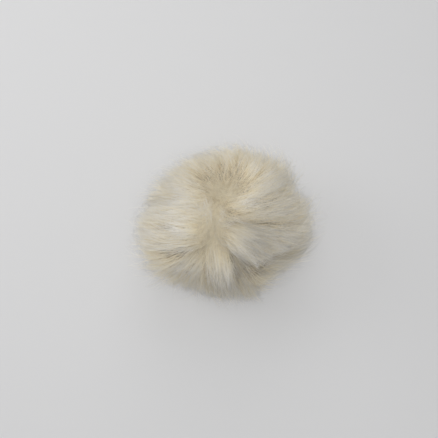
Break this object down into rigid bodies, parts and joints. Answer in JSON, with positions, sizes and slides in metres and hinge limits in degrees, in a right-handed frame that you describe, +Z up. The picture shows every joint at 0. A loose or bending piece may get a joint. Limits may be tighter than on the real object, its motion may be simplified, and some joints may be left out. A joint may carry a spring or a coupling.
{
  "type": "fur pom pom",
  "caption": "Soft oval pom pom of long combed fur with a parted crown and a small flat spot to rest on, for trimming hats, bags and slippers.",
  "frame": {"origin": "on the surface it rests on, under the middle of the pom pom's bounding box", "axes": "+Z up through the crown, +X along the pom pom's longest extent, -Y towards the viewer"},
  "size_m": [0.1082, 0.0922, 0.0774],
  "materials": {
    "fur": "long soft pile, matt"
  },
  "bodies": {
    "root": {"fur_ball": "fur"}
  },
  "joints": []
}
